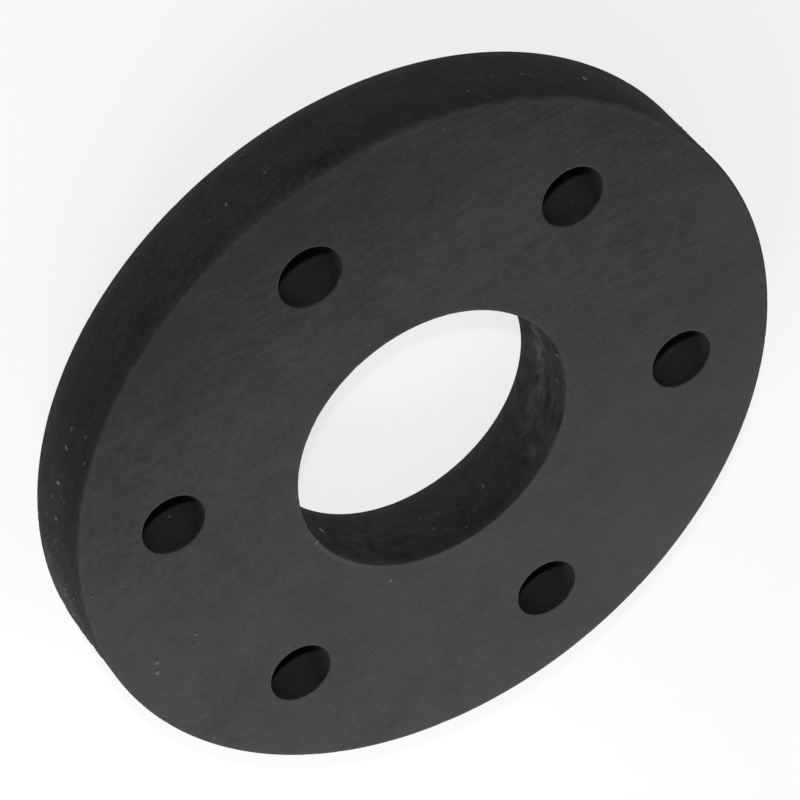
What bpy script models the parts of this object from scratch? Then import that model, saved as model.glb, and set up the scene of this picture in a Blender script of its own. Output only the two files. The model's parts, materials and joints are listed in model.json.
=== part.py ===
"""Rubber coupling disc: a thick flat ring moulded in rubber, with a bore and a ring of pin holes."""

from math import cos, pi, radians, sin

import bmesh
import bpy
from mathutils import Matrix, Vector

# Driving sizes, in metres
OUTER_DIAMETER = 0.170
BORE_DIAMETER = 0.066
THICKNESS = 0.0197
PIN_HOLE_DIAMETER = 0.0146
# rubber left between a pin hole and the rim
RIM_LAND = 0.015
RIM_EDGE_RADIUS = 0.0006
OPENING_EDGE_RADIUS = 0.0003
# the fine ridge where the mould's halves met, at half thickness on every wall
MOULD_LINE_HEIGHT = 0.00012
MOULD_LINE_WIDTH = 0.0005

# Driving pattern: the pin holes, counted round from the first, which lies at this angle from +X
PIN_HOLE_COUNT = 6
FIRST_HOLE_ANGLE = radians(30)

# Worked-out sizes
PIN_CIRCLE_RADIUS = OUTER_DIAMETER / 2 - RIM_LAND - PIN_HOLE_DIAMETER / 2

# Facets round each wall, and over the quarter round of each edge
RIM_FACETS = 144
BORE_FACETS = 84
PIN_HOLE_FACETS = 32
EDGE_FACETS = 2

# Which way the rubber lies from a wall, along the radius
INSIDE_THE_WALL = -1
OUTSIDE_THE_WALL = 1

# Vertices this near to a face's height are on that face
SAME_HEIGHT = 0.00001

RUBBER_COLOUR = (0.040, 0.041, 0.042, 1.0)
RUBBER_ROUGHNESS = 0.62


def clear_scene():
    """Start from an empty scene."""
    for old in list(bpy.data.objects):
        bpy.data.objects.remove(old)


def black_rubber():
    """Matt black rubber for the whole disc."""
    material = bpy.data.materials.new("black_rubber")
    material.use_nodes = True
    shader = material.node_tree.nodes["Principled BSDF"]
    shader.inputs["Base Color"].default_value = RUBBER_COLOUR
    shader.inputs["Roughness"].default_value = RUBBER_ROUGHNESS
    shader.inputs["Metallic"].default_value = 0.0
    material.diffuse_color = RUBBER_COLOUR
    return material


def wall_section(radius, rubber_side, edge_radius):
    """A wall's section from the lower face to the upper, as (distance from its axis, height)."""
    lower = []
    for step in range(EDGE_FACETS + 1):
        turn = pi / 2 * step / EDGE_FACETS
        reach = rubber_side * edge_radius * (1 - sin(turn))
        lower.append((radius + reach, edge_radius * (1 - cos(turn))))
    lower.append((radius, (THICKNESS - MOULD_LINE_WIDTH) / 2))
    mould_line = (radius - rubber_side * MOULD_LINE_HEIGHT, THICKNESS / 2)
    upper = [(distance, THICKNESS - height) for distance, height in reversed(lower)]
    return [*lower, mould_line, *upper]


def turn_wall(disc, centre, section, facets):
    """Spin a wall's section once round the upright axis through its centre."""
    points = [disc.verts.new(centre + Vector((distance, 0, height))) for distance, height in section]
    chain = [disc.edges.new(pair) for pair in zip(points, points[1:])]
    bmesh.ops.spin(
        disc,
        geom=points + chain,
        cent=centre,
        axis=(0, 0, 1),
        angle=2 * pi,
        steps=facets,
        use_merge=True,
    )


def pin_hole_centres():
    """The pin holes' centres, evenly round the pin circle."""
    first = Vector((PIN_CIRCLE_RADIUS, 0, 0))
    for hole in range(PIN_HOLE_COUNT):
        turn = FIRST_HOLE_ANGLE + 2 * pi * hole / PIN_HOLE_COUNT
        yield Matrix.Rotation(turn, 3, "Z") @ first


def fill_face(disc, height):
    """Close the flat face at one height, between the rim and the edges of the openings."""
    outline = [
        edge
        for edge in disc.edges
        if edge.is_boundary and all(abs(vert.co.z - height) < SAME_HEIGHT for vert in edge.verts)
    ]
    bmesh.ops.triangle_fill(disc, edges=outline, use_beauty=True)


def coupling_disc():
    """The disc: turned rim, bore and pin holes, joined by its two flat faces."""
    disc = bmesh.new()
    axis = Vector((0, 0, 0))
    rim = wall_section(OUTER_DIAMETER / 2, INSIDE_THE_WALL, RIM_EDGE_RADIUS)
    bore = wall_section(BORE_DIAMETER / 2, OUTSIDE_THE_WALL, OPENING_EDGE_RADIUS)
    pin_hole = wall_section(PIN_HOLE_DIAMETER / 2, OUTSIDE_THE_WALL, OPENING_EDGE_RADIUS)
    turn_wall(disc, axis, rim, RIM_FACETS)
    turn_wall(disc, axis, bore, BORE_FACETS)
    for centre in pin_hole_centres():
        turn_wall(disc, centre, pin_hole, PIN_HOLE_FACETS)
    fill_face(disc, 0)
    fill_face(disc, THICKNESS)
    bmesh.ops.recalc_face_normals(disc, faces=disc.faces)

    mesh = bpy.data.meshes.new("coupling_disc")
    disc.to_mesh(mesh)
    disc.free()
    mesh.materials.append(black_rubber())
    mesh.shade_smooth()
    mesh.set_sharp_from_angle(angle=radians(35))
    result = bpy.data.objects.new("coupling_disc", mesh)
    bpy.context.scene.collection.objects.link(result)
    return result


def main():
    clear_scene()
    coupling_disc()


main()
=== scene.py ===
"""Rubber coupling disc: the moulded, handled rubber of the disc and the studio it is seen in."""

import json
import random
from collections import namedtuple
from math import atan2, cos, exp, hypot, pi, radians, sin, tau

import bmesh
import bpy
from mathutils import Matrix, Vector, noise


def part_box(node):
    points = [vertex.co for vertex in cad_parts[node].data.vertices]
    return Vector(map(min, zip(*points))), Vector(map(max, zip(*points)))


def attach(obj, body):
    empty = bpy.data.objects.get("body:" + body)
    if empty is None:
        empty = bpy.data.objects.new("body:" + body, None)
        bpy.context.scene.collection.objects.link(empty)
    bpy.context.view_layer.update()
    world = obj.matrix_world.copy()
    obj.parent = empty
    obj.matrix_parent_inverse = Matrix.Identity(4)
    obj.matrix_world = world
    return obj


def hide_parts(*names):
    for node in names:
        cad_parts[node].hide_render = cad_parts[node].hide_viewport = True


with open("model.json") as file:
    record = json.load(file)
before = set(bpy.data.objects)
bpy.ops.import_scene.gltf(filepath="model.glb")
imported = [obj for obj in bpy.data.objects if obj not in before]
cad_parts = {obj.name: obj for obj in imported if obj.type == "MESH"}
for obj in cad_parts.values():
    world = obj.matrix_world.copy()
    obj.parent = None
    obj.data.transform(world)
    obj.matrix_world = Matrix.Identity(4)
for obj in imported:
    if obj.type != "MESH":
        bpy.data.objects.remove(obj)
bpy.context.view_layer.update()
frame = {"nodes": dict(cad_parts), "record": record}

bl_info = {
    "name": "Rubber Coupling Disc",
    "version": (1, 0, 0),
    "blender": (4, 5, 0),
    "location": "View3D > Sidebar > Coupling Disc",
    "description": "Models the moulded rubber disc of a pin coupling and sets its studio",
    "category": "Add Mesh",
}

NODE = "coupling_disc"
BODY = "root"

MM = 0.001

# What the frame says of the disc
CAD_DISC = frame["nodes"][NODE]
LOWER_FACE, UPPER_FACE = (corner.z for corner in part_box(NODE))
THICKNESS = UPPER_FACE - LOWER_FACE
MID_HEIGHT = (UPPER_FACE + LOWER_FACE) / 2
PIN_HOLE_CENTRES = [
    Vector(opening["box_m"][0]).lerp(Vector(opening["box_m"][1]), 0.5).xy.to_3d()
    for opening in frame["record"]["physics"]["openings"]
    if opening["name"].startswith("pin_hole") and "along" not in opening["name"]
]
DISC_AXIS = Vector((0, 0, 0))

# How far from half thickness the frame's plain walls are measured, clear of the mould line
CLEAR_OF_MOULD_LINE = (0.1 * MM, 1 * MM)


def wall_radii(centre):
    """The least and greatest distance of the frame's plain walls from an upright axis."""
    nearest, furthest = CLEAR_OF_MOULD_LINE
    distances = [
        hypot(vert.co.x - centre.x, vert.co.y - centre.y)
        for vert in CAD_DISC.data.vertices
        if nearest < abs(vert.co.z - MID_HEIGHT) < furthest
    ]
    return min(distances), max(distances)


BORE_RADIUS, RIM_RADIUS = wall_radii(DISC_AXIS)
PIN_HOLE_RADIUS = wall_radii(PIN_HOLE_CENTRES[0])[0]

# Which way the rubber lies from a wall, along the radius
INSIDE_THE_WALL = -1
OUTSIDE_THE_WALL = 1

# Material slots of the disc's piece, in their order on the mesh
FACE_FINISH, WALL_FINISH, HOLE_FINISH = 0, 1, 2

# How strongly each finish mirrors its surroundings, as a share of what clear plastic does
FACE_GLOSS = 0.12
WALL_GLOSS = 0.05
CLEAR_PLASTIC_IOR = 1.5

# The vertex attribute that says how worn the rubber is and carries painted light and shade: less
# than nothing where it is torn and dark or painted with shade
WEAR_AND_PAINTED_LIGHT = "wear"

# How worn the edges of the rim and of the bore are
EDGE_WEAR = 0.2

# The vertex attribute that says how pale a bit is
PALE = "pale"

# A mark on a wall: its middle, round from +X and up from the lower face, how far it reaches along
# the wall and up it, and its strength, which is how far a bump stands out or how light a scuff or a
# patch of painted light is. The strength of a dent, of a dark tear or of painted shade is less than
# nothing.
Mark = namedtuple("Mark", "heading height length tall strength")


def scuff_or_painted_light(heading, height, length, tall, lightness):
    """A scuffed patch, a dark tear or a patch of painted light or shade, in degrees and
    millimetres, with a lightness of 1 when fully scuffed.
    """
    return Mark(radians(heading), height * MM, length * MM, tall * MM, lightness)


def mark(heading, height, length, tall, rise):
    """A bump or a dent, in degrees and millimetres."""
    return scuff_or_painted_light(heading, height, length, tall, rise * MM)


RIM_MARKS = (
    mark(320.5, 18.9, 1.6, 1.0, 0.12),
    mark(228, 19.0, 2.2, 1.0, 0.10),
    mark(297, 19.3, 1.8, 0.8, -0.16),
    mark(248, 19.4, 1.2, 0.6, -0.15),
    mark(262, 18.6, 1.4, 2.0, 0.12),
    mark(351, 0.5, 2.5, 0.8, -0.2),
    mark(64, 19.2, 2.0, 0.9, -0.2),
    mark(131, 0.4, 1.6, 0.7, -0.2),
)
# The light scuffs on the rim's sides, from 198° to 209° and from 326° to 351°, are partly scuffs
# and partly painted sheen where the rim is seen at a slant
RIM_SCUFFS_AND_SHEEN = (
    scuff_or_painted_light(347, 5, 16, 11, 0.5),
    scuff_or_painted_light(326, 6, 22, 11, 0.12),
    scuff_or_painted_light(203, 4, 24, 12, 0.2),
    scuff_or_painted_light(210, 19.7, 44, 2.2, 0.5),
    scuff_or_painted_light(238, 19.7, 30, 1.0, 0.3),
    scuff_or_painted_light(222, 8, 34, 14, 0.14),
    scuff_or_painted_light(320, 19.7, 24, 1.6, 0.14),
    scuff_or_painted_light(262, 18.6, 1.2, 1.7, 0.6),
    scuff_or_painted_light(259, 16.5, 9, 5, -0.22),
    scuff_or_painted_light(209, 1.5, 20, 4.5, 0.24),
    scuff_or_painted_light(198, 15.5, 12, 9, 0.2),
    scuff_or_painted_light(315, 1.5, 34, 4, 0.2),
    scuff_or_painted_light(351, 12.5, 5, 4, 0.3),
    scuff_or_painted_light(339, 3, 7, 4, 0.3),
    scuff_or_painted_light(344, 15.5, 6, 4, -0.25),
    scuff_or_painted_light(90, 19.7, 80, 2.2, 0.25),
    scuff_or_painted_light(40, 10, 22, 3, 0.2),
    scuff_or_painted_light(150, 9.8, 18, 3, 0.2),
)
BORE_MARKS = (
    mark(172, 15.5, 3.0, 3.4, -0.1),
    mark(176, 18.8, 2.0, 1.4, -0.25),
    mark(300, 19.4, 1.2, 0.6, -0.12),
)
BORE_SCUFFS_AND_SHADE = (
    scuff_or_painted_light(134, 10, 21, 40, 0.26),
    scuff_or_painted_light(148, 8.6, 17, 2.2, 0.7),
    scuff_or_painted_light(163, 8.6, 9, 3.2, 1),
    scuff_or_painted_light(154, 4.2, 5, 1.3, 0.4),
    scuff_or_painted_light(120, 15.5, 3, 3, 0.3),
    scuff_or_painted_light(178, 5, 8, 12, 0.15),
    scuff_or_painted_light(163, 12, 6, 20, 0.12),
    scuff_or_painted_light(22, 8, 24, 40, 0.3),
    scuff_or_painted_light(60, 8, 62, 40, 0.11),
    scuff_or_painted_light(20, 19.7, 22, 2.2, 0.6),
    # These dark tears, from 167° to 180° and at 138° and 140°, are painted shade: the stretch of
    # the bore's wall that the front lamp doesn't reach, and the crevices at its edge
    scuff_or_painted_light(167, 4.4, 3, 2.4, -1),
    scuff_or_painted_light(173.5, 6.6, 2.6, 2.2, -1.2),
    scuff_or_painted_light(177, 14, 2.4, 4, -1),
    scuff_or_painted_light(174.5, 18.4, 3, 1.6, -1),
    scuff_or_painted_light(179.2, 16.5, 2.6, 4.5, -1.4),
    scuff_or_painted_light(168, 13.6, 2.4, 1.7, -0.9),
    scuff_or_painted_light(140, 13.3, 4, 1.2, -0.8),
    scuff_or_painted_light(138, 19.2, 5, 1.2, -0.7),
    scuff_or_painted_light(250, 9.9, 26, 1.8, 0.4),
)
# Painted shade: every pin hole's mouth is painted a little darker on the same side, the side that
# the lamps light
PIN_HOLE_MOUTH_SHADE = (scuff_or_painted_light(125, 20, 16, 4, -0.36),)
PIN_HOLE_MARKS = {
    3: (mark(165, 19.6, 0.8, 0.5, -0.18),),
    6: (mark(25, 19.6, 0.9, 0.5, -0.18),),
}

# Torn bits of flash and dust that cling to the walls: heading in degrees, height and size in
# millimetres, and how pale each is
RIM_BITS = (
    (212.5, 8.9, 1.2, 0.6),
    (214, 9.7, 0.8, 0.25),
    (218, 9.7, 0.6, 0.1),
    (221, 8.8, 0.7, 0.1),
    (224, 9.5, 0.8, 0.2),
    (228.2, 18.9, 0.8, 0.05),
    (229, 9.6, 0.7, 0.1),
    (234.5, 13.6, 0.8, 0.12),
    (265.9, 10.3, 0.8, 0.2),
    (266.7, 2, 0.8, 0.1),
    (270, 1.8, 0.8, 0.15),
    (272.8, 10.4, 0.9, 0.35),
    (276, 10.4, 0.6, 0.1),
    (311.6, 15.2, 0.9, 0.15),
    (312.7, 9.7, 0.8, 0.3),
    (314.9, 17.4, 0.9, 0.15),
    (315.9, 9.6, 1, 0.6),
    (320.4, 9.7, 0.5, 0.2),
    (322.1, 9.3, 1.15, 1),
    (323.5, 11.2, 0.65, 0.2),
    (328.3, 9.4, 1.05, 0.6),
    (341.3, 14.1, 1, 0.4),
    (342.2, 8.8, 1, 0.6),
    (343.8, 8.2, 0.9, 0.6),
    (348.3, 7.9, 1.1, 0.6),
)
BORE_BITS = (
    (20.3, 9.1, 1.4, 0.7),
    (67.5, 8.1, 0.7, 0.1),
    (69.4, 12.3, 0.7, 0.25),
    (79.8, 16.6, 0.6, 0.1),
    (80.4, 2.5, 0.6, 0.15),
    (91, 1, 0.8, 0.2),
    (95.1, 10.1, 0.8, 0.5),
    (153.4, 15.8, 0.8, 0.2),
    (169.9, 18.3, 1, 0.35),
)
PIN_HOLE_BITS = {
    1: ((84, 9.9, 0.4, 0.15), (97, 10.3, 0.35, 0.1)),
    3: ((80, 10.3, 0.5, 0.1), (95, 10.5, 0.4, 0.1)),
    4: ((81, 10.1, 0.5, 0.15), (88, 14, 0.5, 0.15)),
    6: ((91, 10.2, 0.8, 0.35),),
}

# Dust on the upper face: X, Y and size in millimetres, and how pale each is
FACE_DUST = (
    (76.2, -1.3, 1.4, 0.5),
    (77.4, 1.3, 1.4, 0.5),
    (65.8, -0.3, 1.1, 0.4),
    (68.1, 1.7, 0.9, 0.2),
    (77.2, -30.5, 0.9, 0.25),
    (71.2, -25.2, 0.7, 0.15),
    (26.1, 26.6, 1, 0.8),
    (33.4, 1.5, 1, 0.8),
    (-65.4, -51.9, 0.9, 0.2),
    (-40.1, -71.5, 0.8, 0.15),
    (-60.8, -41.1, 0.9, 0.15),
    (-32.9, 11.2, 0.7, 0.15),
)

# Where the upper face is lighter or darker than all round, partly uneven bloom and partly painted
# light
# and shade: X, Y and reach in millimetres, and how much lighter it is there
FACE_BLOOM_AND_LIGHT_PATCHES = (
    (-2, -85, 36, -0.42),
    (35, -78, 40, -0.36),
    (-12, -52, 20, 0.2),
    (84, -8, 30, 0.42),
    (74, -28, 22, 0.15),
    (-62, 44, 32, 0.16),
    (2, 50, 36, -0.12),
    (68, -52, 26, -0.16),
    (28, 68, 21, -0.22),
    (-30, 67, 26, 0.13),
    (88, 12, 22, 0.3),
    (76, 46, 22, 0.16),
    (40, 79, 20, 0.08),
    (0, 89, 22, 0.12),
    (-28, 84, 20, 0.08),
    (-53, 72, 22, 0.34),
    (-71, 54, 22, 0.4),
    (-83, 32, 22, 0.45),
    (-89, 8, 22, 0.55),
    (-87, -16, 20, 0.3),
    (-50, -34, 26, 0.16),
    (-50, 33, 24, 0.12),
    (37, 14, 20, 0.16),
)

# A stretch of wall with bits strewn over it: the headings where it starts and ends, in degrees, how
# many bits are tried, the least and greatest size in millimetres, and how pale the palest is
Stretch = namedtuple("Stretch", "start end count smallest largest palest")

# The half circles of wall that the camera doesn't see
RIM_BEHIND = Stretch(8, 192, 46, 0.4, 1.1, 0.8)
BORE_BEHIND = Stretch(185, 355, 16, 0.4, 1.1, 0.8)

# The part of the rim with the most fine pale bits on it: dust, and painted glints of the rim's
# sheen
RIM_DUST_AND_GLINTS = Stretch(320, 357, 120, 0.3, 0.8, 0.4)

# The share of the bits behind that lie along the flash, and how many degrees they keep from +X, +Y,
# -X and -Y, where a bit would make the disc measure wider
FLASH_SHARE = 0.75
CLEAR_OF_AXES = 5

# How ragged a bit is, how large its lumps are beside it, and how drawn out it is at most
BIT_RAGGEDNESS = 0.6
BIT_LUMPS = 0.5
BIT_STRETCH = 1.5

# Each bit's raggedness is read from somewhere in a cube of noise of this width
BIT_NOISE_WIDTH = 9

# How thick a bit on a wall and a speck of dust are beside a ball of their size
WALL_BIT_FLATNESS = 0.4
DUST_FLATNESS = 0.3

# Where the random draws of the bits and of the dust start
BITS_SEED = 31
DUST_SEED = 8

# A round wall of the disc: its upright axis, its size, its wear and how finely it is turned
Wall = namedtuple(
    "Wall", "centre radius rubber_side edge_radius edge_wear facets sectors row_height"
)

# Facets over the quarter round of each edge, and how far a wall's section goes on along the faces
EDGE_FACETS = 5
FACE_MARGINS = (1.6 * MM, 1.0 * MM, 0.5 * MM)

# Where a vertex lies on a wall: its place, the way straight out of the rubber, its heading and its
# height, how far behind the wall it is on a flat face, how far from the nearer face, and its height
# with the way over the edge and on along the face counted in
Spot = namedtuple("Spot", "place outwards heading height behind to_face climb")

# A kind of unevenness in the walls: how large its lumps are, where its noise is read, so that no
# two kinds follow each other, how strong it is and how high it lies
Unevenness = namedtuple("Unevenness", "size offset contrast level")
WAVE = Unevenness(19 * MM, Vector((0, 0, 0)), 0.5, 0.5)
RIPPLE = Unevenness(2.6 * MM, Vector((0, 0, 0.3)), 0.5, 0.5)
SOFTNESS = Unevenness(4 * MM, Vector((0, 0, 0.9)), 0.5, 0.5)
FLASH_LEFT = Unevenness(2.6 * MM, Vector((0.5, 0, 0)), 2.4, -0.1)
BITES = Unevenness(1.4 * MM, Vector((0, 0.7, 0)), 1.6, -0.45)

# Waves make this share of the wavering and ripples the rest, and it dies away this near to a face
WAVE_SHARE = 0.75
WAVER_FADE = 1.5 * MM

# Bites are deepest within this share of the edge radius, and reach this far
BITE_START = 0.3
BITE_REACH = 1.1 * MM

# How far edges are rounded off between the bites, beside the deepest bite
EDGE_SOFTENING = 0.12

# The wear at an edge: its full width on the wall, how far it reaches from there, and on the face
WORN_WIDTH = 0.3 * MM
WEAR_REACH = 1.9 * MM
FACE_WEAR_REACH = 1.5 * MM

# How worn the flash is
FLASH_WEAR = 0.03

# Past an edge by this much, a vertex is on a flat face
FACE_START = 0.1 * MM

# A hump falls to a twentieth of its height at its reach
HUMP_FALL = 1.7

# Vertices this near to each other are one, and this near to a face's height are on that face
SAME_PLACE = 0.001 * MM
SAME_HEIGHT = 0.01 * MM

# A face is part of a flat face of the disc if its normal is this upright
UPRIGHT = 0.9

SENSOR_WIDTH = 36
WHITE = (1, 1, 1, 1)

# How far the floor reaches each way, and how far it lies under the disc
FLOOR_REACH = 12
FLOOR_GAP = 0.05 * MM


class DiscFormSettings(bpy.types.PropertyGroup):
    """Sizes of the fine shape that moulding, trimming and handling gave the disc."""

    rim_edge: bpy.props.FloatProperty(
        name="Rim Edge",
        description="Radius of the rounding between the rim and the flat faces",
        default=0.3 * MM,
        unit="LENGTH",
    )
    opening_edge: bpy.props.FloatProperty(
        name="Opening Edge",
        description="Radius of the rounding round the bore and the pin holes",
        default=0.25 * MM,
        unit="LENGTH",
    )
    flash_height: bpy.props.FloatProperty(
        name="Flash Height",
        description="How far the trimmed flash stands out of the walls at half thickness, at most",
        default=0.11 * MM,
        unit="LENGTH",
    )
    flash_width: bpy.props.FloatProperty(
        name="Flash Width",
        description="Width of the line of trimmed flash",
        default=0.5 * MM,
        unit="LENGTH",
    )
    wall_wave: bpy.props.FloatProperty(
        name="Wall Wave",
        description="How far the walls waver inwards from true round",
        default=0.05 * MM,
        unit="LENGTH",
    )
    edge_bite: bpy.props.FloatProperty(
        name="Edge Bite",
        description="How deep the small bites in the edges are, at most",
        default=0.1 * MM,
        unit="LENGTH",
    )


class RubberSettings(bpy.types.PropertyGroup):
    """Colours and finish of the rubber."""

    face_colour: bpy.props.FloatVectorProperty(
        name="Face Colour",
        description="Black of the flat faces where they are cleanest",
        default=(0.0150, 0.0158, 0.0166),
        subtype="COLOR",
        min=0,
        max=1,
    )
    # The pale end of the faces' tone, which also carries their painted light
    face_bloom_and_painted_light: bpy.props.FloatVectorProperty(
        name="Face Bloom",
        description="Grey of the dust and bloom on the flat faces where it is thickest",
        default=(0.0333, 0.0348, 0.0364),
        subtype="COLOR",
        min=0,
        max=1,
    )
    wall_colour: bpy.props.FloatVectorProperty(
        name="Wall Colour",
        description="Black of the rim, bore and hole walls where they are cleanest",
        default=(0.0118, 0.0128, 0.0125),
        subtype="COLOR",
        min=0,
        max=1,
    )
    # The pale end of the walls' tone: their dust, and the painted light thrown up from the floor
    wall_dust_and_painted_light: bpy.props.FloatVectorProperty(
        name="Wall Bloom",
        description="Grey of the dust on the walls where it is thickest",
        default=(0.0430, 0.0455, 0.0448),
        subtype="COLOR",
        min=0,
        max=1,
    )
    # Also the grey of the painted sheen on the rim's sides
    worn_and_sheen_colour: bpy.props.FloatVectorProperty(
        name="Worn Colour",
        description="Grey of scuffed edges and of the trimmed flash",
        default=(0.075, 0.077, 0.077),
        subtype="COLOR",
        min=0,
        max=1,
    )
    bit_colour: bpy.props.FloatVectorProperty(
        name="Bit Colour",
        description="Grey of the torn bits of flash at their palest",
        default=(0.175, 0.18, 0.176),
        subtype="COLOR",
        min=0,
        max=1,
    )
    dust_colour: bpy.props.FloatVectorProperty(
        name="Dust Colour",
        description="Grey of the dust on the face at its palest",
        default=(0.12, 0.123, 0.124),
        subtype="COLOR",
        min=0,
        max=1,
    )
    face_roughness: bpy.props.FloatProperty(
        name="Face Roughness", description="Roughness of the flat faces", default=0.4, min=0, max=1
    )
    wall_roughness: bpy.props.FloatProperty(
        name="Wall Roughness", description="Roughness of the walls", default=0.8, min=0, max=1
    )
    grain_turn: bpy.props.FloatProperty(
        name="Grain Turn",
        description="Direction of the fine parallel lines of the mould plate, from +X",
        default=radians(-20),
        subtype="ANGLE",
    )
    grain_width: bpy.props.FloatProperty(
        name="Grain Width",
        description="Width of the fine parallel lines on the faces",
        default=0.9 * MM,
        unit="LENGTH",
    )


class StudioSettings(bpy.types.PropertyGroup):
    """The camera, the floor and the lamps."""

    view_heading: bpy.props.FloatProperty(
        name="View Heading",
        description="Direction that the camera looks along, from +X towards +Y",
        default=radians(92.685),
        subtype="ANGLE",
    )
    view_drop: bpy.props.FloatProperty(
        name="View Drop",
        description="How far the camera looks down from the horizon",
        default=radians(42.537),
        subtype="ANGLE",
    )
    view_roll: bpy.props.FloatProperty(
        name="View Roll",
        description="How far the camera leans about its line of sight",
        default=radians(-138.735),
        subtype="ANGLE",
    )
    view_distance: bpy.props.FloatProperty(
        name="View Distance",
        description="From the camera to the point it is aimed at",
        default=0.99738,
        unit="LENGTH",
    )
    view_aim: bpy.props.FloatVectorProperty(
        name="View Aim",
        description="The point at the middle of the picture",
        default=(0.000115, -0.005884, 0.00985),
        unit="LENGTH",
    )
    lens: bpy.props.FloatProperty(
        name="Lens", description="Focal length in millimetres on a 36 mm sensor", default=208.156
    )
    floor_colour: bpy.props.FloatVectorProperty(
        name="Floor Colour",
        description="Colour of the pale floor",
        default=(0.8, 0.8, 0.8),
        subtype="COLOR",
        min=0,
        max=1,
    )
    floor_bounce: bpy.props.FloatVectorProperty(
        name="Floor Bounce",
        description="Colour of the light that the floor throws back on the disc",
        default=(0.45, 0.45, 0.45),
        subtype="COLOR",
        min=0,
        max=1,
    )
    floor_glow: bpy.props.FloatProperty(
        name="Floor Glow",
        description="Share of plain white in the floor as the camera sees it",
        default=0.75,
        min=0,
        max=1,
    )
    fill: bpy.props.FloatProperty(
        name="Fill", description="Strength of the even light from all round", default=0.15, min=0
    )


def disc_walls(form):
    """The rim, the bore and the pin holes."""
    rim = Wall(
        centre=DISC_AXIS,
        radius=RIM_RADIUS,
        rubber_side=INSIDE_THE_WALL,
        edge_radius=form.rim_edge,
        edge_wear=EDGE_WEAR,
        facets=1200,
        sectors=24,
        row_height=0.9 * MM,
    )
    bore = rim._replace(
        radius=BORE_RADIUS,
        rubber_side=OUTSIDE_THE_WALL,
        edge_radius=form.opening_edge,
        facets=480,
    )
    pin_hole = bore._replace(
        radius=PIN_HOLE_RADIUS, edge_wear=0, facets=120, sectors=8, row_height=1.2 * MM
    )
    return rim, bore, *(pin_hole._replace(centre=centre) for centre in PIN_HOLE_CENTRES)


def smooth_step(value):
    """0 below 0, 1 above 1 and an even S between."""
    value = min(max(value, 0.0), 1.0)
    return value * value * (3 - 2 * value)


def section(wall, flash_width):
    """A fine section of a wall from the lower face up, as (distance from its axis, height)."""
    lower = [
        (wall.radius + wall.rubber_side * (wall.edge_radius + margin), 0.0)
        for margin in FACE_MARGINS
    ]
    for step in range(EDGE_FACETS + 1):
        turn = pi / 2 * step / EDGE_FACETS
        reach = wall.rubber_side * wall.edge_radius * (1 - sin(turn))
        lower.append((wall.radius + reach, wall.edge_radius * (1 - cos(turn))))
    plain_height = (THICKNESS - flash_width) / 2 - wall.edge_radius
    rows = round(plain_height / wall.row_height)
    for row in range(1, rows + 1):
        lower.append((wall.radius, wall.edge_radius + plain_height * row / rows))
    lower.append((wall.radius, THICKNESS / 2 - flash_width / 4))
    upper = [(distance, THICKNESS - height) for distance, height in reversed(lower)]
    return [*lower, (wall.radius, THICKNESS / 2), *upper]


def each_once(items):
    """The items in their order, without repeats."""
    return list(dict.fromkeys(items))


def turn_wall(disc, wall, flash_width):
    """Turn one sector of a wall, then set its copies round the axis."""
    foot = wall.centre + Vector((0, 0, LOWER_FACE))
    points = [
        disc.verts.new(foot + Vector((distance, 0, height)))
        for distance, height in section(wall, flash_width)
    ]
    chain = [disc.edges.new(pair) for pair in zip(points, points[1:])]
    before = set(disc.faces)
    sector_turn = tau / wall.sectors
    bmesh.ops.spin(
        disc,
        geom=points + chain,
        cent=foot,
        axis=(0, 0, 1),
        angle=sector_turn,
        steps=wall.facets // wall.sectors,
    )
    sector = [face for face in disc.faces if face not in before]
    sector_verts = each_once(vert for face in sector for vert in face.verts)
    sector_edges = each_once(edge for face in sector for edge in face.edges)
    bmesh.ops.spin(
        disc,
        geom=sector_verts + sector_edges + sector,
        cent=foot,
        axis=(0, 0, 1),
        angle=tau - sector_turn,
        steps=wall.sectors - 1,
        use_duplicate=True,
    )
    new_faces = [face for face in disc.faces if face not in before]
    verts = each_once(vert for face in new_faces for vert in face.verts)
    bmesh.ops.remove_doubles(disc, verts=verts, dist=SAME_PLACE)
    return [vert for vert in verts if vert.is_valid]


def uneven(kind, place):
    """Smooth noise of a kind of unevenness at a place."""
    return kind.contrast * noise.noise((place + kind.offset) / kind.size) + kind.level


def hump(distance, reach):
    """A rounded hump of height 1 that has died away at its reach."""
    return exp(-((HUMP_FALL * distance / reach) ** 2))


def wall_spot(wall, place):
    """Where a place lies on a wall."""
    arm = (place - wall.centre).xy.to_3d()
    height = place.z - LOWER_FACE
    behind = max(wall.rubber_side * (arm.length - wall.radius), 0)
    return Spot(
        place=place,
        outwards=arm.normalized() * -wall.rubber_side,
        heading=atan2(arm.y, arm.x),
        height=height,
        behind=behind,
        to_face=min(height, THICKNESS - height),
        climb=height + (behind if height > THICKNESS / 2 else -behind),
    )


def share_of(item, wall, heading, height):
    """How much of a mark is felt at a heading and height of its wall, from 0 to 1."""
    turn = (heading - item.heading + pi) % tau - pi
    return hump(turn * wall.radius, item.length) * hump(height - item.height, item.tall)


def wavered(wall, spot, form, flash):
    """How far a wall's wavering and its flash move a spot."""
    on_wall = 1 - smooth_step(spot.behind / wall.edge_radius)
    waver = WAVE_SHARE * uneven(WAVE, spot.place) + (1 - WAVE_SHARE) * uneven(RIPPLE, spot.place)
    inwards = form.wall_wave * waver * smooth_step(spot.to_face / WAVER_FADE)
    return spot.outwards * (on_wall * (form.flash_height * flash - inwards))


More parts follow.
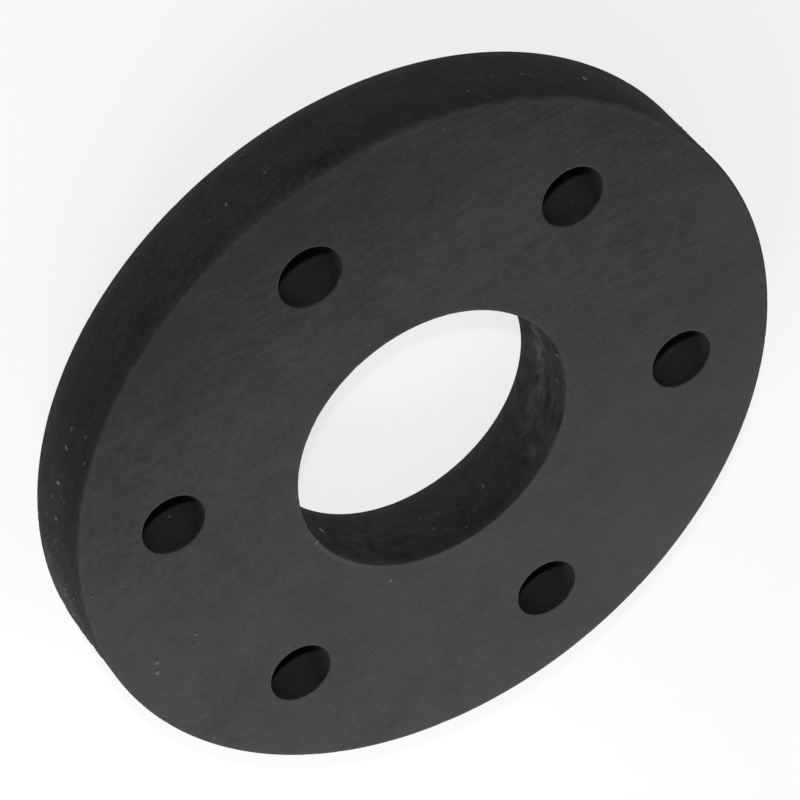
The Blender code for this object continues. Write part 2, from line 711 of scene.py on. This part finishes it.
def bitten(wall, spot, form, softness):
    """How far the bites in an edge, and its softening between them, move a spot."""
    from_corner = max(spot.behind, spot.to_face) - BITE_START * wall.edge_radius
    bite = smooth_step(uneven(BITES, spot.place)) + EDGE_SOFTENING * softness
    depth = hump(from_corner, BITE_REACH) * min(form.edge_bite, wall.edge_radius) * bite
    towards_face = Vector((0, 0, 1 if spot.height > THICKNESS / 2 else -1))
    return -(spot.outwards + towards_face).normalized() * depth


def weather_wall(wall, verts, wear, form, marks, scuffs_and_painted_light):
    """Waver a wall, raise its broken line of flash, bite its edges, and note its wearing and where
    light or shade is painted on it.
    """
    for vert in verts:
        spot = wall_spot(wall, vert.co.copy())
        worn_and_painted = sum(
            smear.strength * share_of(smear, wall, spot.heading, spot.climb) for smear in scuffs_and_painted_light
        )
        along_face = spot.behind - wall.edge_radius
        if along_face > FACE_START:
            fade = 1 - smooth_step(along_face / FACE_WEAR_REACH)
            vert[wear] = (wall.edge_wear + worn_and_painted) * fade
            continue

        flash_left = smooth_step(uneven(FLASH_LEFT, spot.place))
        flash = hump(spot.height - THICKNESS / 2, form.flash_width) * flash_left
        softness = uneven(SOFTNESS, spot.place)
        shift = wavered(wall, spot, form, flash) + bitten(wall, spot, form, softness)
        for dent in marks:
            rise = dent.strength * share_of(dent, wall, spot.heading, spot.height)
            shift += spot.outwards * rise
        vert.co += shift

        near_edge = hump(max(spot.to_face - WORN_WIDTH, 0), WEAR_REACH)
        worn_and_painted += wall.edge_wear * near_edge * (0.5 + softness) + FLASH_WEAR * flash
        vert[wear] = max(min(worn_and_painted, 1), -1)


def fill_face(disc, height):
    """Close the flat face at one height, between the rim and the edges of the openings."""
    outline = [
        edge
        for edge in disc.edges
        if edge.is_boundary and all(abs(vert.co.z - height) < SAME_HEIGHT for vert in edge.verts)
    ]
    bmesh.ops.triangle_fill(disc, edges=outline, use_beauty=True)


def walls_and_finishes(form):
    """Each wall with its finish, its bumps and dents, and its scuffing, dark tears and painted
    light and shade.
    """
    rim, bore, *pin_holes = disc_walls(form)
    yield rim, WALL_FINISH, RIM_MARKS, RIM_SCUFFS_AND_SHEEN
    yield bore, WALL_FINISH, BORE_MARKS, BORE_SCUFFS_AND_SHADE
    for number, pin_hole in enumerate(pin_holes, 1):
        yield pin_hole, HOLE_FINISH, PIN_HOLE_MARKS.get(number, ()), PIN_HOLE_MOUTH_SHADE


class DISC_OT_rubber(bpy.types.Operator):
    """Model the disc with its softened edges, trimmed flash and small bites"""

    bl_idname = "coupling_disc.rubber"
    bl_label = "Rubber Disc"

    def execute(self, context):
        form = context.scene.disc_form
        rubber = context.scene.rubber_finish
        disc = bmesh.new()
        wear = disc.verts.layers.float.new(WEAR_AND_PAINTED_LIGHT)
        for wall, finish, marks, scuffs_and_painted_light in walls_and_finishes(form):
            verts = turn_wall(disc, wall, form.flash_width)
            weather_wall(wall, verts, wear, form, marks, scuffs_and_painted_light)
            for face in each_once(face for vert in verts for face in vert.link_faces):
                face.material_index = finish
        fill_face(disc, LOWER_FACE)
        fill_face(disc, UPPER_FACE)
        bmesh.ops.recalc_face_normals(disc, faces=disc.faces)
        for face in disc.faces:
            face.smooth = True
            if abs(face.normal.z) > UPRIGHT:
                face.material_index = FACE_FINISH

        mesh = bpy.data.meshes.new("moulded_disc")
        disc.to_mesh(mesh)
        disc.free()
        piece = bpy.data.objects.new("moulded_disc", mesh)
        context.scene.collection.objects.link(piece)
        mesh.materials.append(face_rubber(rubber))
        mesh.materials.append(wall_rubber("wall_rubber", rubber, tone_spread=1.0, tone_at_top=0.17))
        mesh.materials.append(wall_rubber("hole_rubber", rubber, tone_spread=0.5, tone_at_top=0.3))
        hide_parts(NODE)
        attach(piece, BODY)
        return {"FINISHED"}


def add_bit(bits, place, outwards, size, flatness, paleness, chance):
    """Add a ragged little lump, pressed against the surface that it clings to."""
    pale = bits.verts.layers.float[PALE]
    lump = bmesh.ops.create_icosphere(bits, subdivisions=2, radius=size / 2)["verts"]
    twist = Matrix.Rotation(chance.uniform(0, tau), 3, "Z")
    turn = outwards.to_track_quat("Z", "Y").to_matrix() @ twist
    own_noise = Vector((chance.random(), chance.random(), chance.random())) * BIT_NOISE_WIDTH
    stretch = chance.uniform(1, BIT_STRETCH)
    shape = Vector((stretch, 1 / stretch, flatness))
    for vert in lump:
        bulge = noise.noise(vert.co / (BIT_LUMPS * size) + own_noise)
        ragged = vert.co * (1 + BIT_RAGGEDNESS * bulge)
        vert.co = place + turn @ (ragged * shape)
        vert[pale] = paleness


def add_wall_bit(bits, wall, heading, height, size, paleness, chance):
    """Add a bit to a wall, at a heading in degrees and with its height and size in millimetres."""
    arm = Matrix.Rotation(radians(heading), 3, "Z") @ Vector((1, 0, 0))
    place = wall.centre + arm * wall.radius + Vector((0, 0, LOWER_FACE + height * MM))
    outwards = arm * -wall.rubber_side
    add_bit(bits, place, outwards, size * MM, WALL_BIT_FLATNESS, paleness, chance)


def size_and_paleness(stretch, chance):
    """The size of a strewn bit and how pale it is: most are dark."""
    return chance.uniform(stretch.smallest, stretch.largest), stretch.palest * chance.random() ** 2


def bits_behind(stretch, chance):
    """Bits for a stretch that the camera doesn't see, most of them along the flash."""
    for _ in range(stretch.count):
        heading = chance.uniform(stretch.start, stretch.end)
        if abs((heading + 45) % 90 - 45) < CLEAR_OF_AXES:
            continue
        along_flash = chance.random() < FLASH_SHARE
        height = chance.gauss(mu=9.7, sigma=0.4) if along_flash else chance.uniform(2, 18)
        yield heading, height, *size_and_paleness(stretch, chance)


def fine_bits(stretch, chance):
    """Fine bits all over a stretch of wall, thickest near its end and below half thickness."""
    for _ in range(stretch.count):
        heading = chance.triangular(stretch.start, stretch.end, mode=stretch.end - 3)
        height = chance.triangular(low=1, high=16, mode=6)
        yield heading, height, *size_and_paleness(stretch, chance)


def bits_mesh():
    """An empty mesh for bits, with the attribute for how pale each is."""
    bits = bmesh.new()
    bits.verts.layers.float.new(PALE)
    return bits


def add_bits_piece(context, name, bits, palest):
    """Turn a mesh of bits into a piece that rides with the disc."""
    for face in bits.faces:
        face.smooth = True
    mesh = bpy.data.meshes.new(name)
    bits.to_mesh(mesh)
    bits.free()
    dullest = context.scene.rubber_finish.wall_dust_and_painted_light
    mesh.materials.append(bit_rubber(f"{name}_rubber", dullest, palest))
    piece = bpy.data.objects.new(name, mesh)
    context.scene.collection.objects.link(piece)
    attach(piece, BODY)


class DISC_OT_flash_bits(bpy.types.Operator):
    """Add the torn bits of flash that cling to the rim, the bore and the pin holes, with the fine
    pale bits of dust and painted glints on the rim
    """

    bl_idname = "coupling_disc.flash_bits"
    bl_label = "Flash Bits"

    def execute(self, context):
        rim, bore, *pin_holes = disc_walls(context.scene.disc_form)
        chance = random.Random(BITS_SEED)
        bits = bits_mesh()
        strewn_rim = (*bits_behind(RIM_BEHIND, chance), *fine_bits(RIM_DUST_AND_GLINTS, chance))
        strewn_bore = bits_behind(BORE_BEHIND, chance)
        spots_on_walls = [(rim, (*RIM_BITS, *strewn_rim)), (bore, (*BORE_BITS, *strewn_bore))]
        for number, pin_hole in enumerate(pin_holes, 1):
            spots_on_walls.append((pin_hole, PIN_HOLE_BITS.get(number, ())))
        for wall, spots in spots_on_walls:
            for spot in spots:
                add_wall_bit(bits, wall, *spot, chance)
        add_bits_piece(context, "flash_bits", bits, context.scene.rubber_finish.bit_colour)
        return {"FINISHED"}


class DISC_OT_dust(bpy.types.Operator):
    """Add the specks of dust that lie on the upper face"""

    bl_idname = "coupling_disc.dust"
    bl_label = "Dust"

    def execute(self, context):
        chance = random.Random(DUST_SEED)
        bits = bits_mesh()
        upwards = Vector((0, 0, 1))
        for x, y, size, paleness in FACE_DUST:
            place = Vector((x * MM, y * MM, UPPER_FACE))
            add_bit(bits, place, upwards, size * MM, DUST_FLATNESS, paleness, chance)
        add_bits_piece(context, "dust_specks", bits, context.scene.rubber_finish.dust_colour)
        return {"FINISHED"}


def link(tree, value, socket):
    """Feed a socket from a node's output, or from the first output of a node."""
    tree.links.new(value.outputs[0] if isinstance(value, bpy.types.Node) else value, socket)


def add_node(tree, kind, inputs, **settings):
    """Add a node with its settings; an input gets a plain value, a node or a node's output."""
    node = tree.nodes.new(kind)
    for name, value in settings.items():
        setattr(node, name, value)
    for name, value in inputs.items():
        if isinstance(value, (bpy.types.Node, bpy.types.NodeSocket)):
            link(tree, value, node.inputs[name])
        else:
            node.inputs[name].default_value = value
    return node


def combine(tree, operation, first, second):
    """One number worked out from two."""
    return add_node(tree, "ShaderNodeMath", {0: first, 1: second}, operation=operation)


def product(tree, first, second):
    """One number times another."""
    return combine(tree, "MULTIPLY", first, second)


def added(tree, *numbers):
    """The sum of several numbers."""
    total = numbers[0]
    for number in numbers[1:]:
        total = combine(tree, "ADD", total, number)
    return total


def ramp(tree, value, start, end, low, high, **settings):
    """A number that goes from low to high while a value goes from start to end."""
    inputs = {"Value": value, "From Min": start, "From Max": end, "To Min": low, "To Max": high}
    return add_node(tree, "ShaderNodeMapRange", inputs, **settings)


def cloudy(tree, place, size, detail):
    """Plain noise with lumps of about a size."""
    inputs = {"Vector": place, "Scale": 1 / size, "Detail": detail}
    return add_node(tree, "ShaderNodeTexNoise", inputs)


def lumps(tree, place, size, detail, swing):
    """Noise with lumps of about a size, even about 0 and mostly within the swing either way."""
    return ramp(tree, cloudy(tree, place, size, detail), 0.3, 0.7, -swing, swing, clamp=False)


def blended(tree, share, first, second):
    """A colour between two, by a share that is held between 0 and 1."""
    inputs = {"Factor": share, 6: first, 7: second}
    return add_node(tree, "ShaderNodeMix", inputs, data_type="RGBA", clamp_factor=True).outputs[2]


def object_place(tree):
    """The place on the piece."""
    return tree.nodes.new("ShaderNodeTexCoord").outputs["Object"]


def drawn_out(tree, place, scale, turn=0.0):
    """The place as a pattern reads it that is drawn out along turned axes."""
    inputs = {"Vector": place, "Rotation": (0, 0, turn), "Scale": scale}
    return add_node(tree, "ShaderNodeMapping", inputs, vector_type="TEXTURE")


def attribute(tree, name):
    """A vertex attribute of the piece."""
    return add_node(tree, "ShaderNodeAttribute", {}, attribute_name=name).outputs["Fac"]


def rubber_material(name, gloss):
    """A rubber with nothing linked yet: its material, node tree and shader."""
    material = bpy.data.materials.new(name)
    material.use_nodes = True
    shader = material.node_tree.nodes["Principled BSDF"]
    shader.inputs["Metallic"].default_value = 0
    shader.inputs["IOR"].default_value = CLEAR_PLASTIC_IOR
    shader.inputs["Specular IOR Level"].default_value = gloss
    return material, material.node_tree, shader


def set_surface(tree, shader, colour, roughness, relief, depth):
    """Feed a shader its colour, its roughness, and its relief as bumps of a depth."""
    link(tree, colour, shader.inputs["Base Color"])
    link(tree, roughness, shader.inputs["Roughness"])
    bump = add_node(tree, "ShaderNodeBump", {"Strength": 1.0, "Distance": depth, "Height": relief})
    link(tree, bump, shader.inputs["Normal"])


def solid(colour):
    """A colour as a shader's socket takes it."""
    return (*colour, 1)


def face_patch(tree, place, x, y, reach, lightness):
    """A soft round patch on the upper face, its place and reach in millimetres."""
    ends = {0: place, 1: (x * MM, y * MM, UPPER_FACE)}
    away = add_node(tree, "ShaderNodeVectorMath", ends, operation="DISTANCE").outputs["Value"]
    return ramp(tree, away, 0.0, reach * MM, lightness, 0.0, interpolation_type="SMOOTHSTEP")


def face_rubber(rubber):
    """Flat moulded rubber under a thin bloom, with the fine parallel lines of the mould plate."""
    material, tree, shader = rubber_material("face_rubber", FACE_GLOSS)
    place = object_place(tree)
    x, y, _ = add_node(tree, "ShaderNodeSeparateXYZ", {"Vector": place}).outputs

    # The lines show more towards -X, and more in some places than in others
    along_grain = drawn_out(tree, place, (9, 1, 9), rubber.grain_turn)
    grain = lumps(tree, along_grain, size=rubber.grain_width, detail=3.0, swing=0.4)
    clear = ramp(tree, x, start=60 * MM, end=-70 * MM, low=0.25, high=0.8)
    here_and_there = lumps(tree, place, size=22 * MM, detail=1.0, swing=0.3)
    lines = product(tree, grain, added(tree, clear, here_and_there))

    # The bloom is cloudy, and the face is painted darker towards -Y: painted shade
    bloom = lumps(tree, place, size=30 * MM, detail=2.0, swing=0.18)
    cloud = lumps(tree, place, size=9 * MM, detail=2.0, swing=0.16)
    mottle = lumps(tree, place, size=1.6 * MM, detail=3.0, swing=0.3)
    painted_shade_towards_minus_y = ramp(tree, y, start=-40 * MM, end=-85 * MM, low=0.5, high=0.3)
    # Patches of uneven bloom with painted light and shade
    bloom_and_light_patches = [face_patch(tree, place, *patch) for patch in FACE_BLOOM_AND_LIGHT_PATCHES]
    tone = added(tree, lines, bloom, cloud, mottle, painted_shade_towards_minus_y, *bloom_and_light_patches)
    colour = blended(tree, tone, solid(rubber.face_colour), solid(rubber.face_bloom_and_painted_light))

    # Wear, and the painted light and shade that ride with it, show less on the face than on the
    # walls
    worn_and_painted = product(tree, attribute(tree, WEAR_AND_PAINTED_LIGHT), 0.4)
    colour = blended(tree, worn_and_painted, colour, solid(rubber.worn_and_sheen_colour))
    relief = added(tree, lines, mottle)
    roughness = added(tree, product(tree, relief, 0.1), rubber.face_roughness)
    set_surface(tree, shader, colour, roughness, relief, 0.01 * MM)
    return material


def wall_rubber(name, rubber, tone_spread, tone_at_top):
    """Moulded rubber of a wall: darker, painted lighter towards its foot with light thrown up from
    the floor, with bands round the disc.
    """
    material, tree, shader = rubber_material(name, WALL_GLOSS)
    place = object_place(tree)
    height = add_node(tree, "ShaderNodeSeparateXYZ", {"Vector": place}).outputs["Z"]
    round_the_wall = drawn_out(tree, place, (6, 6, 1))

    bands = lumps(tree, round_the_wall, size=1.2 * MM, detail=2.0, swing=0.05 * tone_spread)
    cloud = lumps(tree, place, size=9 * MM, detail=2.0, swing=0.08 * tone_spread)
    mottle = lumps(tree, place, size=1.3 * MM, detail=3.0, swing=0.15 * tone_spread)

    # The wall is painted lighter lower down and most of all at the foot, painted light thrown up
    # from the floor, with dust specks all over
    tone_at_foot = tone_at_top + 0.38 * tone_spread
    dust = ramp(tree, height, UPPER_FACE, LOWER_FACE, low=tone_at_top, high=tone_at_foot)
    foot = {"start": 3.5 * MM, "end": 0.5 * MM, "low": 0.0, "high": 0.3 * tone_spread}
    painted_foot_light = ramp(tree, height, **foot, interpolation_type="SMOOTHSTEP")
    flecks = cloudy(tree, place, size=1.9 * MM, detail=1.0)
    specks = ramp(tree, flecks, start=0.62, end=0.8, low=0.0, high=0.3 * tone_spread)

    # Scuffs, tears and the painted light and shade are ragged, but less so near the upper face
    streaks = lumps(tree, round_the_wall, size=0.5 * MM, detail=3.0, swing=0.6)
    blotches = lumps(tree, place, size=3.5 * MM, detail=2.0, swing=0.7)
    near_face = {"start": UPPER_FACE - 2.4 * MM, "end": UPPER_FACE - 0.7 * MM}
    calmer = ramp(tree, height, **near_face, low=1.0, high=0.3)
    ragged = added(tree, product(tree, added(tree, streaks, blotches), calmer), 0.75)
    patchy = product(tree, attribute(tree, WEAR_AND_PAINTED_LIGHT), ragged)
    # Dark tears, and the painted shade in the pin hole mouths and the bore, darken the tone
    torn = product(tree, combine(tree, "MINIMUM", patchy, 0.0), 0.9)

    tone = added(tree, bands, cloud, mottle, dust, painted_foot_light, specks, torn)
    colour = blended(tree, tone, solid(rubber.wall_colour), solid(rubber.wall_dust_and_painted_light))
    # Scuffs and the painted sheen on the rim's sides blend towards the worn grey
    colour = blended(tree, patchy, colour, solid(rubber.worn_and_sheen_colour))
    roughness = added(tree, product(tree, mottle, 0.2), rubber.wall_roughness)
    relief = added(tree, mottle, bands, product(tree, patchy, 0.6))
    set_surface(tree, shader, colour, roughness, relief, 0.02 * MM)
    return material


def bit_rubber(name, dullest, palest):
    """Torn bits of flash or dust: paler than the walls and quite dull."""
    material, tree, shader = rubber_material(name, WALL_GLOSS)
    mottle = lumps(tree, object_place(tree), size=0.3 * MM, detail=2.0, swing=0.12)
    tone = added(tree, mottle, attribute(tree, PALE))
    link(tree, blended(tree, tone, solid(dullest), solid(palest)), shader.inputs["Base Color"])
    shader.inputs["Roughness"].default_value = 0.8
    return material


def pale_floor_paper(studio):
    """Paper that is seen as pale, keeps the disc's shadow and throws back only a little light."""
    material = bpy.data.materials.new("pale_paper")
    material.use_nodes = True
    tree = material.node_tree
    tree.nodes.clear()
    rays = tree.nodes.new("ShaderNodeLightPath").outputs
    mirrored = combine(tree, "MAXIMUM", rays["Is Glossy Ray"], rays["Is Transmission Ray"])
    seen = combine(tree, "MAXIMUM", rays["Is Camera Ray"], mirrored)
    colour = blended(tree, seen, solid(studio.floor_bounce), solid(studio.floor_colour))
    paper = add_node(tree, "ShaderNodeBsdfDiffuse", {"Color": colour})
    glow = add_node(tree, "ShaderNodeEmission", {"Color": WHITE, "Strength": 1.0})
    share = product(tree, seen, studio.floor_glow)
    mixed = add_node(tree, "ShaderNodeMixShader", {0: share, 1: paper, 2: glow})
    add_node(tree, "ShaderNodeOutputMaterial", {"Surface": mixed})
    return material


def set_world(studio):
    """Even fill light from all round."""
    world = bpy.data.worlds.new("studio")
    world.use_nodes = True
    fill = world.node_tree.nodes["Background"]
    fill.inputs["Color"].default_value = WHITE
    fill.inputs["Strength"].default_value = studio.fill
    bpy.context.scene.world = world


def direction(heading, height):
    """The unit vector towards a heading from +X and a height above the horizon, both in degrees."""
    heading, height = radians(heading), radians(height)
    return Vector((cos(height) * cos(heading), cos(height) * sin(heading), sin(height)))


def add_lamp(name, towards, distance, size, irradiance):
    """Add a round lamp aimed at the disc, by the light that it throws on a surface facing it."""
    data = bpy.data.lights.new(name, "AREA")
    data.shape = "DISK"
    data.size = size
    data.energy = irradiance * pi * distance * distance
    item = bpy.data.objects.new(name, data)
    item.location = towards * distance
    item.rotation_mode = "QUATERNION"
    item.rotation_quaternion = towards.to_track_quat("Z", "Y")
    item.visible_camera = False
    bpy.context.scene.collection.objects.link(item)


def set_camera(studio):
    """The camera where the picture was taken from."""
    heading, drop = studio.view_heading, studio.view_drop
    sight = Vector((cos(drop) * cos(heading), cos(drop) * sin(heading), -sin(drop)))
    data = bpy.data.cameras.new("camera")
    data.sensor_width = SENSOR_WIDTH
    data.lens = studio.lens
    camera = bpy.data.objects.new("camera", data)
    upright = sight.to_track_quat("-Z", "Y").to_matrix()
    lean = Matrix.Rotation(studio.view_roll, 3, sight)
    place = Vector(studio.view_aim) - sight * studio.view_distance
    camera.matrix_world = Matrix.Translation(place) @ (lean @ upright).to_4x4()
    bpy.context.scene.collection.objects.link(camera)
    bpy.context.scene.camera = camera


class DISC_OT_studio(bpy.types.Operator):
    """Set the floor, the lamps, the fill light and the camera"""

    bl_idname = "coupling_disc.studio"
    bl_label = "Studio"

    def execute(self, context):
        studio = context.scene.studio
        sheet = bmesh.new()
        bmesh.ops.create_grid(sheet, x_segments=1, y_segments=1, size=FLOOR_REACH)
        bmesh.ops.translate(sheet, verts=sheet.verts, vec=(0, 0, LOWER_FACE - FLOOR_GAP))
        mesh = bpy.data.meshes.new("floor")
        sheet.to_mesh(mesh)
        sheet.free()
        mesh.materials.append(pale_floor_paper(studio))
        floor = bpy.data.objects.new("floor", mesh)
        context.scene.collection.objects.link(floor)
        set_world(studio)
        add_lamp("front_lamp", direction(-93, 37.7), distance=1.2, size=0.05, irradiance=1.75)
        add_lamp("side_lamp", direction(30, 25), distance=0.38, size=0.25, irradiance=3.4)
        add_lamp("back_lamp", direction(90, 30), distance=0.6, size=0.4, irradiance=0.93)
        set_camera(studio)
        context.scene.view_settings.view_transform = "Standard"
        return {"FINISHED"}


OPERATORS = (DISC_OT_rubber, DISC_OT_flash_bits, DISC_OT_dust, DISC_OT_studio)


class DISC_PT_panel(bpy.types.Panel):
    """The disc's pieces and its studio"""

    bl_idname = "DISC_PT_panel"
    bl_label = "Coupling Disc"
    bl_space_type = "VIEW_3D"
    bl_region_type = "UI"
    bl_category = "Coupling Disc"

    def draw(self, context):
        for operator in OPERATORS:
            self.layout.operator(operator.bl_idname)


SETTINGS = {
    "disc_form": DiscFormSettings,
    "rubber_finish": RubberSettings,
    "studio": StudioSettings,
}
CLASSES = (*SETTINGS.values(), *OPERATORS, DISC_PT_panel)


def register():
    for item in CLASSES:
        bpy.utils.register_class(item)
    for name, settings in SETTINGS.items():
        setattr(bpy.types.Scene, name, bpy.props.PointerProperty(type=settings))


def unregister():
    for name in SETTINGS:
        delattr(bpy.types.Scene, name)
    for item in reversed(CLASSES):
        bpy.utils.unregister_class(item)


def main():
    register()
    bpy.ops.coupling_disc.rubber()
    bpy.ops.coupling_disc.flash_bits()
    bpy.ops.coupling_disc.dust()
    bpy.ops.coupling_disc.studio()


if __name__ == "__main__":
    main()
